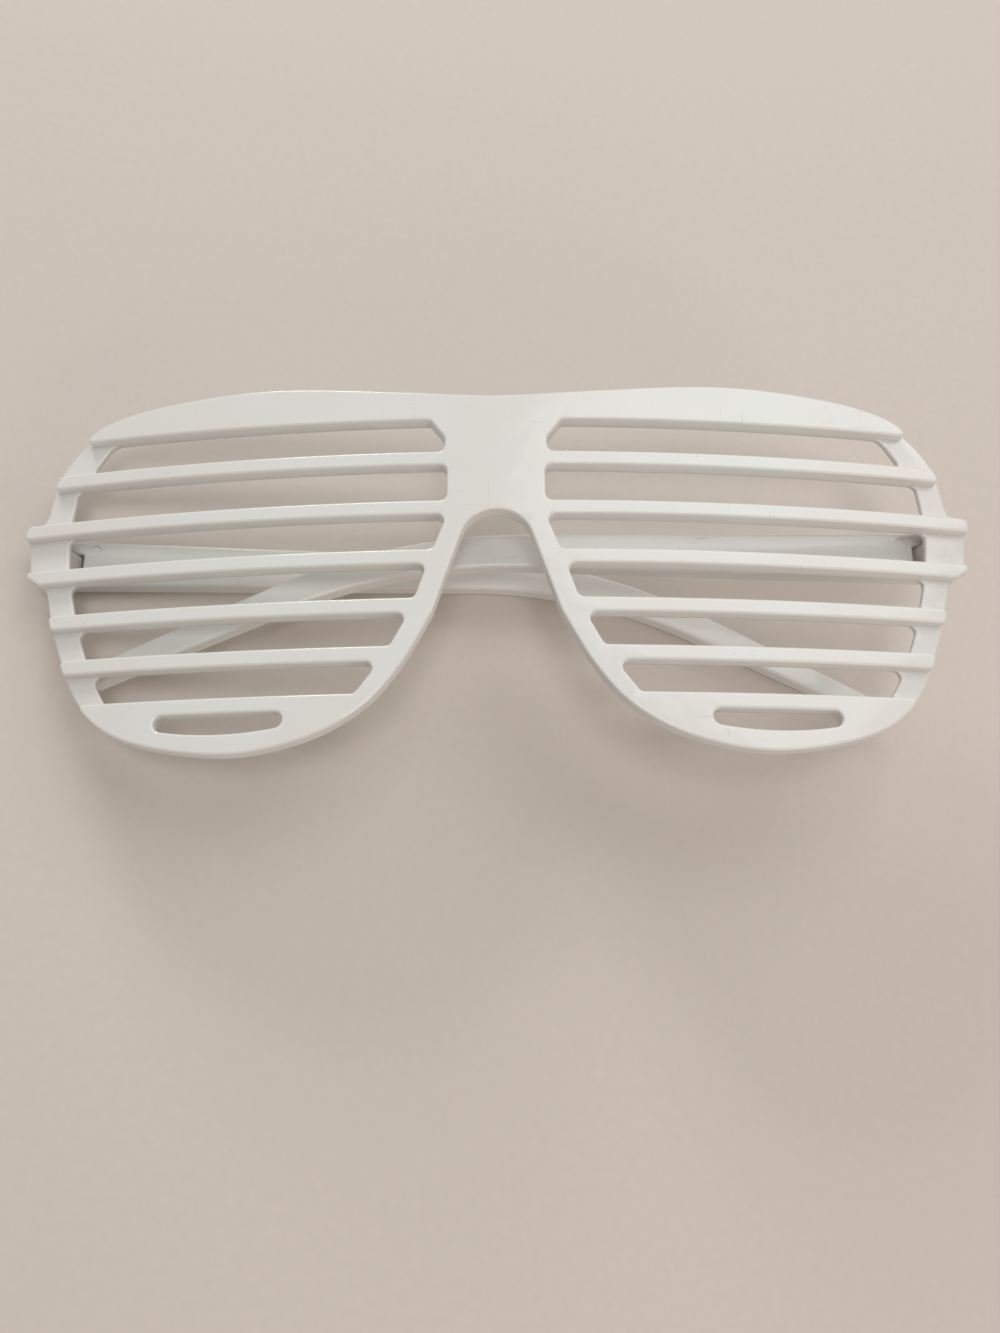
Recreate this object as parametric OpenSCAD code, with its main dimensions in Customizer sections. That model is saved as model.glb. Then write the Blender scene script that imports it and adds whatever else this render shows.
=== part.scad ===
// Slotted party glasses, folded, lying face up on the outer face of the left temple.
// +X runs to the right of the front, +Y to its brow and +Z up from the table, in millimetres.
// Left and right are as seen by someone who looks at the front.
// The pieces are drawn with the front's face at z = 0 and turned to the table at the end.

/* [Front] */
// Width over the two rims, without the hinge lugs
rim_w = 144.6; // [138:0.2:150]
// Height from the lens bottoms to the crests of the brow
front_h = 60; // [57:0.5:64]
// Thickness of the moulded front
front_t = 2.8; // [2.4:0.1:3.4]
// Radius of the wrap round the face
wrap_r = 355; // [300:5:450]
// Width of the rim between a slot's end and the edge
rim_band = 3.7; // [3.2:0.1:4.4]
// Step from the slats down to the side rims
rim_recess = 1.6; // [1.2:0.1:1.8]
// Radius of the arch over the nose
arch_r = 5.5; // [4.8:0.1:6]
// Top of the nose arch above the middle of the front
arch_top = 7; // [6:0.2:8]
// Half of the bridge's width between the slots
bridge_half = 7.7; // [7.2:0.1:9]

/* [Slats and slots] */
// Lower edge of the brow above the middle of the front
brow_edge = 23.15; // [22.5:0.05:24]
// Height of the uppermost slot
first_slot_h = 5.65; // [5:0.05:6]
// Height of a slat's front face
slat_h = 2.35; // [2.1:0.05:2.6]
// Distance from the first slat to the second
slat_pitch = 8.45; // [8.2:0.05:8.6]
// How much each further pitch is closer
pitch_step = 0.33; // [0.25:0.01:0.4]
// Reach of the slat ends past the rim
slat_reach = 0.2; // [0.1:0.1:0.8]
// Corner radius of the slots
slot_corner = 1; // [0.6:0.1:1.5]
// Radius of the big upper corners of the first slot
first_corner = 3.4; // [2.4:0.1:4]
// Length of the small slot in the bottom band
small_slot_w = 20; // [16:0.5:24]
// Height of the small slot in the bottom band
small_slot_h = 3.4; // [2.8:0.1:3.8]
// Middle of the small slot, from the middle of the bridge
small_slot_x = 40.8; // [38:0.2:43]

/* [Hinges] */
// Hinge axis from the widest place of the rim, inward
hinge_inset = 2.9; // [1.9:0.1:3.3]
// Hinge axis above the middle of the front
hinge_y = 4.5; // [4.2:0.1:4.8]
// Hinge axis behind the face of the bridge
hinge_depth = 14.2; // [14:0.1:16]
// Reach of the hinge lug past the hinge axis
lug_reach = 6.1; // [5:0.1:7]
// How far the lug's lower corner lies inside its upper corner
lug_taper = 1.2; // [0:0.1:2]
// Height of the front's tongue between the ears
tongue_h = 4; // [3.4:0.1:4.4]
// Radius of the hinge pin
pin_r = 0.6; // [0.5:0.05:0.8]
// Radial running clearance of the pin in the tongue
pin_clearance = 0.05; // [0.03:0.01:0.08]
// Gap between the tongue and each ear
ear_gap = 0.15; // [0.1:0.05:0.3]
// Gap between the temple's root and the lug
root_gap = 0.3; // [0.25:0.05:0.5]

/* [Temples] */
// Length of a temple from its hinge axis, along its upper edge
temple_len = 141; // [130:1:147]
// Thickness of a temple
temple_t = 3; // [2.6:0.1:3.4]
// Height of a temple at its hinge
root_h = 8.6; // [8:0.1:9.2]
// Height of a temple at its tip
tip_h = 3.4; // [3:0.1:5]
// Length of the straight part in front of the ear bend
straight_len = 65; // [58:1:75]
// Radius of the ear bend
bend_r = 92; // [70:1:105]
// Angle of the ear hook below the straight part, in degrees
bend_angle = 26; // [18:1:32]
// Angle by which the left temple stays open when folded, in degrees
left_fold = 6.5; // [6:0.1:9]
// Angle by which the right temple is folded past parallel, in degrees
right_fold = 1.2; // [0:0.1:1.2]

/* [Hidden] */

half_w = rim_w / 2;
half_h = front_h / 2;
white = [0.86, 0.87, 0.85];
steel = [0.7, 0.7, 0.72];

// Edge of the right half in shares of its half width and half height, from the middle of the brow
// over the crest, down the side rim, round the lens bottom and up to the foot of the nose arch.
edge_shares = [
    [0, 0.923], [0.207, 0.953], [0.484, 1], [0.69, 0.973], [0.844, 0.907], [0.92, 0.787],
    [0.989, 0.517], [0.998, 0.167], [0.973, -0.133], [0.933, -0.417], [0.862, -0.72],
    [0.747, -0.913], [0.553, -1], [0.389, -0.937], [0.271, -0.787], [0.194, -0.577], [0.13, -0.3]
];
edge_knots = [for (p = edge_shares) [p[0] * half_w, p[1] * half_h]];
// The leg of the arch leaves its circle at this angle above the horizontal
leg_angle = 19;
leg_top = [arch_r * cos(leg_angle), arch_top - arch_r + arch_r * sin(leg_angle)];

// Places of the slats: element k is the upper edge of slat k + 1, and the last is the bottom band
slat_tops = [for (k = [0:5]) brow_edge - first_slot_h - k * slat_pitch + pitch_step * k * (k - 1) / 2];
slot_roofs = [for (k = [0:5]) k == 0 ? brow_edge : slat_tops[k - 1] - slat_h];

// Hinge sizes
hinge_x = half_w - hinge_inset;
root_end = temple_t / 2 + 0.1;
ear_r = root_end + 0.05;
lug_x = hinge_x + lug_reach;
lug_back = hinge_depth - root_end - root_gap;
fork_h = tongue_h + 2 * ear_gap;
fork_depth = temple_t / 2 + root_gap;
pin_len = root_h - 0.6;

// Place on the table: the left temple's outer face is down, and the origin is under the middle
lift = hinge_x * sin(left_fold) + hinge_depth * cos(left_fold) + temple_t / 2;
lug_front = wrap_r - sqrt(wrap_r * wrap_r - lug_x * lug_x);
middle_x = sin(left_fold) * (lug_front + lug_back) / 2;

// Smooth curve through the knots, with the same number of steps between each two
function curve_point(a, b, c, d, t) =
    0.5 * (2 * b + (c - a) * t + (2 * a - 5 * b + 4 * c - d) * t * t + (3 * b - a - 3 * c + d) * t * t * t);
function curve(knots, before, steps) = [
    for (i = [0:len(knots) - 2], j = [0:steps - 1])
        curve_point(i == 0 ? before : knots[i - 1], knots[i], knots[i + 1],
            knots[min(i + 2, len(knots) - 1)], j / steps),
    knots[len(knots) - 1]
];

// Arc points round a centre from one angle to another
function arc(centre, r, from, to, steps) = [
    for (i = [0:steps])
        let (angle = from + (to - from) * i / steps) centre + r * [cos(angle), sin(angle)]
];

// Corner b of a polygon, between a and c, as an arc of radius r
function unit(v) = v / norm(v);
function short_turn(angle) = angle > 180 ? angle - 360 : angle < -180 ? angle + 360 : angle;
function round_corner(a, b, c, r, steps = 6) =
    let (u = unit(a - b), v = unit(c - b), half = acos(u * v) / 2, centre = b + unit(u + v) * r / sin(half),
        first = b + u * r / tan(half) - centre, last = b + v * r / tan(half) - centre,
        start = atan2(first[1], first[0]), turn = short_turn(atan2(last[1], last[0]) - start))
    arc(centre, r, start, start + turn, steps);
function round_polygon(points, radii) = let (n = len(points)) [
    for (i = [0:n - 1])
        each round_corner(points[(i + n - 1) % n], points[i], points[(i + 1) % n], radii[i])
];

right_edge = concat(
    curve(edge_knots, [-edge_knots[1][0], edge_knots[1][1]], 4),
    arc([0, arch_top - arch_r], arch_r, leg_angle, 90, 8)
);
// The side rim is the part of the edge between the brow's corner and the bottom band
side_rim = [for (i = [4 * 4:4 * 11]) right_edge[i]];
nose_leg = [for (i = [4 * 13:len(right_edge) - 1]) right_edge[i]];
function side_x(y) = lookup(y, [for (p = side_rim) [p[1], p[0]]]);
function nose_x(y) = lookup(y, [for (p = nose_leg) [p[1], p[0]]]);
function slot_outer_x(y) = side_x(y) - rim_band;
function slot_inner_x(y) = max(bridge_half, nose_x(y) + rim_band);

module both_sides() {
    children();
    mirror([1, 0, 0]) children();
}

// Flat shape through the whole depth of the front
module through_front() {
    translate([0, 0, -hinge_depth]) linear_extrude(height = hinge_depth + 2) children();
}

// Curved sheet between two depths behind the face
module wrap_sheet(from, to) {
    translate([0, 0, -wrap_r]) rotate([90, 0, 0]) difference() {
        cylinder(h = front_h + 8, r = wrap_r - from, center = true, $fn = 720);
        cylinder(h = front_h + 9, r = wrap_r - to, center = true, $fn = 720);
    }
}

module rim_outline() {
    polygon(concat(right_edge, [for (i = [len(right_edge) - 2:-1:1]) [-right_edge[i][0], right_edge[i][1]]]));
}

// Outer end of slat k, which crosses the rim. The end of the lower lug slat is cut on a slant.
module slat_end(k) {
    top = slat_tops[k];
    low = top - slat_h;
    start_x = slot_outer_x(top) - 2;
    end_x = k == 1 || k == 2 ? lug_side(top) : side_x(top - slat_h / 2) + slat_reach;
    slant = [2.2, 1.5];
    slanted = [[end_x - slant[0], low], [end_x, low + slant[1]], [end_x, top]];
    squared = [[end_x, low], [end_x, top]];
    if (k == 2)
        polygon(round_polygon([[start_x, low], each slanted, [start_x, top]], [0.1, 0.4, 0.3, 0.3, 0.1]));
    else
        polygon(round_polygon([[start_x, low], each squared, [start_x, top]], [0.1, 0.6, 0.6, 0.1]));
}

// Outer edge of the lug, which leans inward towards its lower corner
function lug_side(y) = lug_x - lug_taper * (slat_tops[1] - y) / (slat_tops[1] - slat_tops[2]);

// Hinge lug seen from the front, flared into the rim above
module lug_outline() {
    top = slat_tops[1];
    low = slat_tops[2] - 0.8;
    flare = 3.4;
    rim_top = side_x(top + flare);
    rim_low = side_x(low - slat_h);
    inner = slot_outer_x(hinge_y);
    polygon(concat(
        [[inner, low - slat_h + 1], [rim_low - 1, low - slat_h + 0.6], [rim_low, low - slat_h + 0.6]],
        [[lug_side(low) - 0.3, low], [lug_side(low), low + 0.4], [lug_side(top - 0.6), top - 0.6]],
        arc([lug_x - 0.6, top + flare], flare, 270, 180 + atan2(0.6, flare), 6),
        [[rim_top - 1, top + flare], [inner, top]]
    ));
}

module slot(k) {
    roof = slot_roofs[k];
    floor = slat_tops[k];
    upper = k == 0 ? first_corner : slot_corner;
    polygon(round_polygon(
        [[slot_inner_x(roof), roof], [slot_inner_x(floor), floor], [slot_outer_x(floor), floor],
            [slot_outer_x(roof), roof]],
        [upper, slot_corner, slot_corner, upper]));
}

// Small slot with a flat top and a bowed bottom
module small_slot() {
    top = slat_tops[5] - slat_h;
    bow = 0.9;
    foot_r = (small_slot_w * small_slot_w / 4 + bow * bow) / (2 * bow);
    foot_angle = asin((small_slot_w / 2 - 1.2) / foot_r);
    foot = [small_slot_x, top - small_slot_h + foot_r];
    half = small_slot_w / 2;
    polygon(concat(
        arc(foot, foot_r, 270 - foot_angle, 270 + foot_angle, 10),
        arc([small_slot_x + half - 1, top - 1], 1, -30, 90, 5),
        arc([small_slot_x - half + 1, top - 1], 1, 90, 210, 5)
    ));
}

// Strips between the slats where the side rim lies deeper than the slats
module recess_rows() {
    for (k = [0:5])
        translate([slot_outer_x(slat_tops[k]) - 4, slat_tops[k]])
            square([lug_x - slot_outer_x(slat_tops[k]) + 6, slot_roofs[k] - slat_tops[k]]);
}

// Outline in the plane of the hinge's section, drawn through a height range
module hinge_section(low, high) {
    translate([0, high, 0]) rotate([90, 0, 0]) linear_extrude(height = high - low) children();
}

// Block behind the lug on which the open temple stops, and the tongue that the pin goes through
module lug_and_tongue() {
    inner = slot_outer_x(hinge_y) + 0.3;
    low = slat_tops[2] - slat_h + 0.5;
    intersection() {
        through_front() intersection() {
            lug_outline();
            translate([inner, low]) square([lug_x, slat_tops[1] - 0.4 - low]);
        }
        translate([0, 0, -wrap_r]) rotate([90, 0, 0])
            cylinder(h = front_h, r = wrap_r - rim_recess - 0.4, center = true, $fn = 720);
        translate([0, -half_h, -lug_back]) cube([lug_x + 1, front_h, hinge_depth]);
    }
    hinge_section(hinge_y - tongue_h / 2, hinge_y + tongue_h / 2)
        polygon(concat(
            [[hinge_x - temple_t / 2, -lug_back + 0.5]],
            arc([hinge_x, -hinge_depth], temple_t / 2, 180, 360, 16),
            [[hinge_x + temple_t / 2, -lug_back + 0.5]]
        ));
}

module pin_bore(radius) {
    translate([hinge_x, hinge_y, -hinge_depth]) rotate([90, 0, 0])
        cylinder(h = root_h + 2, r = radius, center = true, $fn = 48);
}

// Wrapped sheet with its slots, slats and side rims
module slotted_sheet() {
    difference() {
        intersection() {
            wrap_sheet(0, front_t);
            union() {
                through_front() rim_outline();
                both_sides() {
                    for (k = [0:4]) through_front() slat_end(k);
                    through_front() lug_outline();
                }
            }
        }
        both_sides() {
            through_front() for (k = [0:5]) slot(k);
            through_front() small_slot();
            intersection() {
                through_front() recess_rows();
                wrap_sheet(-1, rim_recess);
            }
        }
    }
}

module front() {
    color(white) on_table() difference() {
        union() {
            slotted_sheet();
            both_sides() lug_and_tongue();
        }
        both_sides() pin_bore(pin_r + pin_clearance);
    }
}

// Upper edge of a temple at a length s from the hinge, and the slope of the edge there
function edge_slope(s) = s < straight_len ? 0 : min(bend_angle, (s - straight_len) / bend_r * 180 / PI);
function hook_start() = straight_len + bend_r * bend_angle * PI / 180;
function upper_edge(s) = let (b = edge_slope(s), past = max(0, s - hook_start())) [
    min(s, straight_len) + bend_r * sin(b) + past * cos(b),
    root_h / 2 - bend_r * (1 - cos(b)) - past * sin(b)
];
function temple_h(s) = root_h + (tip_h - root_h) * s / temple_len;
function lower_edge(s) = let (b = edge_slope(s)) upper_edge(s) - temple_h(s) * [sin(b), cos(b)];

// Side view of a temple with its hinge axis at the origin
module temple_profile() {
    bend = [for (i = [0:12]) straight_len + (hook_start() - straight_len) * i / 12];
    tip_s = temple_len - tip_h / 2;
    tip = (upper_edge(tip_s) + lower_edge(tip_s)) / 2;
    corner = 1;
    polygon(concat(
        arc([-root_end + corner, root_h / 2 - corner], corner, 180, 90, 4),
        [for (s = bend) upper_edge(s)],
        arc(tip, temple_h(tip_s) / 2, 90 - bend_angle, -90 - bend_angle, 8),
        [for (i = [12:-1:0]) lower_edge(bend[i])],
        arc([-root_end + corner, -root_h / 2 + corner], corner, 270, 180, 4)
    ));
}

// Temple that points to +X, with the hinge axis at the origin and its inner face up
module temple() {
    difference() {
        translate([0, 0, -temple_t / 2]) linear_extrude(height = temple_t) temple_profile();
        // Fork for the front's tongue
        translate([-root_end - 1, -fork_h / 2, -temple_t])
            cube([root_end + 1 + fork_depth, fork_h, 2 * temple_t]);
        // Inner corner of the ears, rounded so that it clears the lug as the temple turns
        hinge_section(-root_h, root_h) polygon(concat(
            arc([0, 0], ear_r, 170, 110, 8),
            [[ear_r * cos(110), temple_t], [-root_end - 1, temple_t], [-root_end - 1, ear_r * sin(170)]]
        ));
        rotate([90, 30, 0]) cylinder(h = root_h + 2, r = pin_r, center = true, $fn = 48);
    }
}

module hinge_pin() {
    rotate([90, 0, 0]) cylinder(h = pin_len, r = pin_r, center = true, $fn = 48);
}

// Moves a piece drawn about its hinge axis to the hinge at the left of the front
module at_hinge(fold) {
    translate([-hinge_x, hinge_y, -hinge_depth]) rotate([0, fold, 0]) children();
}

// Turns the glasses so that the left temple's outer face lies on the table
module on_table() {
    translate([-middle_x, 0, lift]) rotate([0, -left_fold, 0]) children();
}

module temple_left() {
    color(white) on_table() at_hinge(left_fold) temple();
}

module temple_right() {
    color(white) on_table() mirror([1, 0, 0]) at_hinge(-right_fold) temple();
}

module hinge_pin_left() {
    color(steel) on_table() at_hinge(left_fold) hinge_pin();
}

module hinge_pin_right() {
    color(steel) on_table() mirror([1, 0, 0]) at_hinge(-right_fold) hinge_pin();
}

front();
temple_left();
temple_right();
hinge_pin_left();
hinge_pin_right();
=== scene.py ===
"""Slotted party glasses: a moulded front, two folded temples and their hinge pins.

Shapes are worked out in millimetres in the front's own frame, with X to the right, Y to the brow,
Z out of the face and the origin in the middle of the bridge's face. Layout then lays them on the
table, in metres.
"""

import math

import bpy
import numpy as np
from bpy.props import FloatProperty, FloatVectorProperty, PointerProperty
from mathutils import Euler, Matrix, Vector
from mathutils.geometry import delaunay_2d_cdt


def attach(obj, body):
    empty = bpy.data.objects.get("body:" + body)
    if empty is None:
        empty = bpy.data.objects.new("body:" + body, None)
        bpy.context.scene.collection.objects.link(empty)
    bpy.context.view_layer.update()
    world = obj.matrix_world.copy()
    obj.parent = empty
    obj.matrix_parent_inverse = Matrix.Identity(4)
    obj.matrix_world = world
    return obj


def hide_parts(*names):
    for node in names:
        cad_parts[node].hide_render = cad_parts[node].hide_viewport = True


bl_info = {
    "name": "Slotted Party Glasses",
    "version": (1, 0, 0),
    "blender": (4, 5, 0),
    "location": "View3D > Sidebar > Glasses",
    "description": "Builds folded slotted party glasses from curves and profiles",
    "category": "Add Mesh",
}

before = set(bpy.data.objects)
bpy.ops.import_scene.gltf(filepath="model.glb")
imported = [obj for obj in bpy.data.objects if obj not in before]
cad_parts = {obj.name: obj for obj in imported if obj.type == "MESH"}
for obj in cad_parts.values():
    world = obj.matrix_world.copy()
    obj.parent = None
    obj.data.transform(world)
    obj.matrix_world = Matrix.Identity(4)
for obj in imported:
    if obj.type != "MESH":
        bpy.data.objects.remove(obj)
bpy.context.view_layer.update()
MM = 0.001

# Edge of the front's right half in shares of its half width and half height, from the middle of
# the brow over the crest, down the side rim, round the lens bottom and up to the nose arch
EDGE_SHARES = np.array([
    [0, 0.923], [0.207, 0.953], [0.484, 1], [0.69, 0.973], [0.844, 0.907], [0.926, 0.793],
    [0.9935, 0.517], [1, 0.167], [0.9735, -0.133], [0.933, -0.417], [0.865, -0.72],
    [0.751, -0.913], [0.553, -1], [0.389, -0.937], [0.271, -0.787], [0.194, -0.577], [0.13, -0.3],
])
CURVE_STEPS = 8

# Knots between which the edge is the side rim, and the knot where the nose's edge ends
RIM_TOP_KNOT, RIM_FOOT_KNOT, NOSE_KNOT = 4, 11, 13
RIM_TOP = RIM_TOP_KNOT * CURVE_STEPS
RIM_FOOT = RIM_FOOT_KNOT * CURVE_STEPS

# Slots of one lens from the brow down, and the numbers of the two slats that cross the lug
SLOTS = 6
UPPER_LUG, LOWER_LUG = 1, 2

# Radii of the slots' corners and of the slats' outer ends
SLOT_CORNER = 1
END_CORNER = 0.7

# Places of the two colours and of the result among the sockets of a Mix node
MIX_A, MIX_B, MIX_RESULT = 6, 7, 2


def size_mm(name, description, default, low, high):
    """A length in millimetres."""
    return FloatProperty(
        name=name, description=description, default=default, min=low, max=high, unit="CAMERA")


def angle(name, description, degrees, low, high):
    """An angle, given in degrees and kept in radians."""
    return FloatProperty(
        name=name, description=description, default=math.radians(degrees),
        min=math.radians(low), max=math.radians(high), subtype="ANGLE")


def colour(name, description, default):
    """A linear colour."""
    return FloatVectorProperty(
        name=name, description=description, default=default, min=0, max=1, subtype="COLOR")


class GlassesFront(bpy.types.PropertyGroup):
    """Sizes of the moulded front"""

    rim_w: size_mm("Rim width", "Width over the two rims", 144.6, 138, 150)
    front_h: size_mm("Height", "Lens bottoms to brow crests", 60, 57, 64)
    front_t: size_mm("Thickness", "Thickness of the moulding", 2.8, 2.4, 3.4)
    wrap_r: size_mm("Wrap radius", "Radius of the bend round the face", 355, 300, 450)
    rim_band: size_mm("Rim band", "From a slot's outer end to the edge", 4.35, 3.6, 4.6)
    first_band: size_mm("First band", "Extra width beside the first slot", 0.75, 0, 1.5)
    nose_band: size_mm("Nose band", "From the nose's edge to a slot", 3.7, 3.2, 4.4)
    rim_rise: size_mm("Rim rise", "How far the rim bulges below the brow", 0.6, 0, 0.8)
    recess: size_mm("Rim recess", "Step down to the side rims", 1.6, 1.2, 1.8)
    draft: size_mm("Draft", "How far the walls lean in towards the face", 0.1, 0, 0.13)
    parting: size_mm("Parting line", "Step between the face and the rims", 0.06, 0, 0.1)
    face_r: size_mm("Face edge", "Rounding of the front edges", 0.38, 0.2, 0.55)
    back_r: size_mm("Back edge", "Rounding of the back edges", 0.3, 0.1, 0.4)
    arch_r: size_mm("Arch radius", "Radius over the nose", 5.5, 4.8, 6)
    arch_top: size_mm("Arch top", "Top of the nose arch above the middle", 7.4, 6, 8)
    bridge_half: size_mm("Half bridge", "Half of the width between the slots", 7.7, 7.2, 9)
    brow_edge: size_mm("Brow edge", "Lower edge of the brow", 23.15, 22.5, 24)
    first_slot_h: size_mm("First slot", "Height of the first slot", 5.4, 5, 6)
    first_corner: size_mm("First corner", "First slot's upper corner at the rim", 2.6, 1, 3.2)
    slant_w: size_mm("Slant width", "First slot's slant beside the bridge", 2.3, 1.6, 2.6)
    slant_h: size_mm("Slant height", "First slot's slant beside the bridge", 3.1, 2.6, 3.6)
    slat_h: size_mm("Slat height", "Height of a slat", 2.6, 2.2, 2.8)
    slat_pitch: size_mm("Slat pitch", "First slat to the second", 8.45, 8.2, 8.6)
    pitch_step: size_mm("Pitch step", "Each pitch is shorter by this", 0.33, 0.25, 0.4)
    small_slot_w: size_mm("Small slot width", "Slot in the bottom band", 18.9, 16, 22)
    small_slot_h: size_mm("Small slot height", "Slot in the bottom band", 2.9, 2.7, 3.8)
    small_slot_x: size_mm("Small slot place", "From the middle", 40.5, 39, 42)


class GlassesHinge(bpy.types.PropertyGroup):
    """Places of the hinges and sizes of the temples"""

    hinge_x: size_mm("Hinge X", "Hinge axis from the middle", 69.4, 68, 71)
    hinge_y: size_mm("Hinge Y", "Hinge axis above the middle", 4.5, 4.2, 4.8)
    hinge_depth: size_mm("Hinge depth", "Hinge axis behind the face", 14.2, 14, 16)
    lug_reach: size_mm("Lug reach", "Lug's side past the hinge axis", 6.1, 5, 7)
    lug_taper: size_mm("Lug taper", "Lean of the lug's side", 1.2, 0, 2)
    tongue_h: size_mm("Tongue height", "Tongue between the ears", 4, 3.4, 4.4)
    ear_gap: size_mm("Ear gap", "Between the tongue and an ear", 0.15, 0.1, 0.3)
    pin_r: size_mm("Pin radius", "Radius of the hinge pin", 0.6, 0.5, 0.8)
    temple_t: size_mm("Temple thickness", "Thickness of a temple", 3, 2.6, 3.4)
    temple_len: size_mm("Temple length", "Along its upper edge", 138.6, 130, 147)
    root_h: size_mm("Root height", "Height of a temple's ears", 8.6, 8, 9.2)
    bar_h: size_mm("Bar height", "Temple's height behind its ears", 8, 7.6, 8.6)
    tip_h: size_mm("Tip height", "Temple's height at its tip", 3.4, 3, 5)
    straight_len: size_mm("Straight part", "Length before the bend", 65, 58, 75)
    bend_r: size_mm("Bend radius", "Radius of the ear bend", 92, 70, 105)
    bend: angle("Bend", "Angle of the ear hook", 26, 18, 32)
    left_fold: angle("Left fold", "How far the left temple stays open", 6.5, 6, 9)
    right_fold: angle("Right fold", "Right temple, past parallel", 1.2, 0, 1.2)


class GlassesFinish(bpy.types.PropertyGroup):
    """Colours and finish of the plastic and the pins"""

    plastic: colour("Plastic", "Colour of the moulding", (0.70, 0.715, 0.685))
    shaded: colour("Second tone", "Warmer tone in the plastic", (0.70, 0.675, 0.645))
    dust: colour("Dust", "Colour of specks and scuffs", (0.40, 0.38, 0.35))
    roughness: FloatProperty(
        name="Roughness", description="Roughness of clean plastic", default=0.11, min=0.05, max=0.6)
    steel: colour("Steel", "Colour of the pins", (0.60, 0.60, 0.62))


class GlassesStage(bpy.types.PropertyGroup):
    """Floor, lamps and camera"""

    floor: colour("Floor", "Colour of the floor", (0.60, 0.54, 0.49))
    world: FloatProperty(
        name="World", description="Strength of the light all round", default=0.41, min=0)
    key: FloatProperty(
        name="Key lamp", description="Large lamp at the upper right, which two small lamps follow",
        default=2.0, min=0, unit="POWER")
    fill: FloatProperty(
        name="Fill lamp", description="Warm lamp at the lower right", default=1.3, min=0,
        unit="POWER")
    view_place: FloatVectorProperty(
        name="Camera", description="Camera in the front's frame, millimetres",
        default=(0.72, -63.1, 136.68), unit="CAMERA")
    view_turn: FloatVectorProperty(
        name="Camera turn", description="Turn from looking straight at the front",
        default=(0.3205, 0.0047, -0.0071), subtype="EULER")
    lens: size_mm("Lens", "Focal length on a 36 mm high image", 27.06, 20, 50)


# Plane curves


def smooth_curve(knots, before, steps):
    """Catmull-Rom curve: each span is a cubic through its two knots, and its slope at a knot is
    half the step between that knot's neighbours."""
    k = np.vstack([before, knots, knots[-1]])
    a, b, c, d = k[:-3, None], k[1:-2, None], k[2:-1, None], k[3:, None]
    t = (np.arange(steps) / steps)[None, :, None]
    square = (2 * a - 5 * b + 4 * c - d) * t**2
    cube = (3 * b - a - 3 * c + d) * t**3
    spans = 0.5 * (2 * b + (c - a) * t + square + cube)
    return np.vstack([spans.reshape(-1, 2), knots[-1]])


def arc(centre, radius, start, end, steps):
    """Points on a circle from one angle to another, in degrees."""
    t = np.radians(np.linspace(start, end, steps + 1))
    return np.asarray(centre) + radius * np.stack([np.cos(t), np.sin(t)], 1)


def round_corner(a, b, c, radius, steps=8):
    """Corner b between a and c as the arc that touches both sides."""
    a, b, c = (np.asarray(point, float) for point in (a, b, c))
    u = (a - b) / np.linalg.norm(a - b)
    v = (c - b) / np.linalg.norm(c - b)
    half = math.acos(np.clip(u @ v, -1, 1)) / 2
    nearly_straight = math.radians(89)
    if half > nearly_straight:
        return b[None]
    centre = b + (u + v) / np.linalg.norm(u + v) * radius / math.sin(half)
    first = b + u * radius / math.tan(half) - centre
    last = b + v * radius / math.tan(half) - centre
    start = math.degrees(math.atan2(first[1], first[0]))
    turn = (math.degrees(math.atan2(last[1], last[0])) - start + 180) % 360 - 180
    return arc(centre, radius, start, start + turn, steps)


def round_path(corners, radii):
    """Path whose corners, all but the first and last, are rounded with the given radii."""
    inner = range(1, len(corners) - 1)
    return np.vstack([
        round_corner(corners[i - 1], corners[i], corners[i + 1], radii[i - 1]) for i in inner])


def round_loop(corners, radii):
    """Closed loop with every corner rounded."""
    return round_path([corners[-1], *corners, corners[0]], radii)


def even_loop(points, spacing):
    """The loop with points added at even lengths along it, where no given point is near."""
    near_share, least_step = 0.35, 0.02
    closed = np.vstack([points, points[:1]])
    length = np.concatenate([[0], np.cumsum(np.linalg.norm(np.diff(closed, axis=0), axis=1))])
    added = np.arange(0, length[-1], spacing)
    gap = np.min(np.abs(added[:, None] - length[None, :]), axis=1)
    at = np.sort(np.concatenate([length[:-1], added[gap > spacing * near_share]]))
    at = at[np.concatenate([[True], np.diff(at) > least_step])]
    return np.stack([np.interp(at, length, closed[:, axis]) for axis in (0, 1)], 1)


def outward(loop):
    """Outward direction at each point of an anticlockwise loop, of the length that moves both
    sides by one, or less at a sharp corner."""
    sharpest = 0.3
    side = np.roll(loop, -1, 0) - loop
    side /= np.linalg.norm(side, axis=1)[:, None]
    normal = np.stack([side[:, 1], -side[:, 0]], 1)
    before = np.roll(normal, 1, 0)
    both = normal + before
    return both / np.maximum(np.sum(both * before, 1), sharpest)[:, None]


def inside(points, loops):
    """True where a ray to the right crosses the sides of the loops an odd number of times."""
    crossed = np.zeros(len(points), int)
    x, y = points[:, :1], points[:, 1:]
    for loop in loops:
        ahead = np.roll(loop, -1, 0)
        spans = (loop[:, 1] > y) != (ahead[:, 1] > y)
        rise = ahead[:, 1] - loop[:, 1]
        slope = (ahead[:, 0] - loop[:, 0]) / np.where(rise == 0, 1, rise)
        crossed += np.sum(spans & (x < loop[:, 0] + (y - loop[:, 1]) * slope), 1)
    return crossed % 2 == 1


# Solid shapes, each as (points, four-sided faces, triangles)


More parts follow.
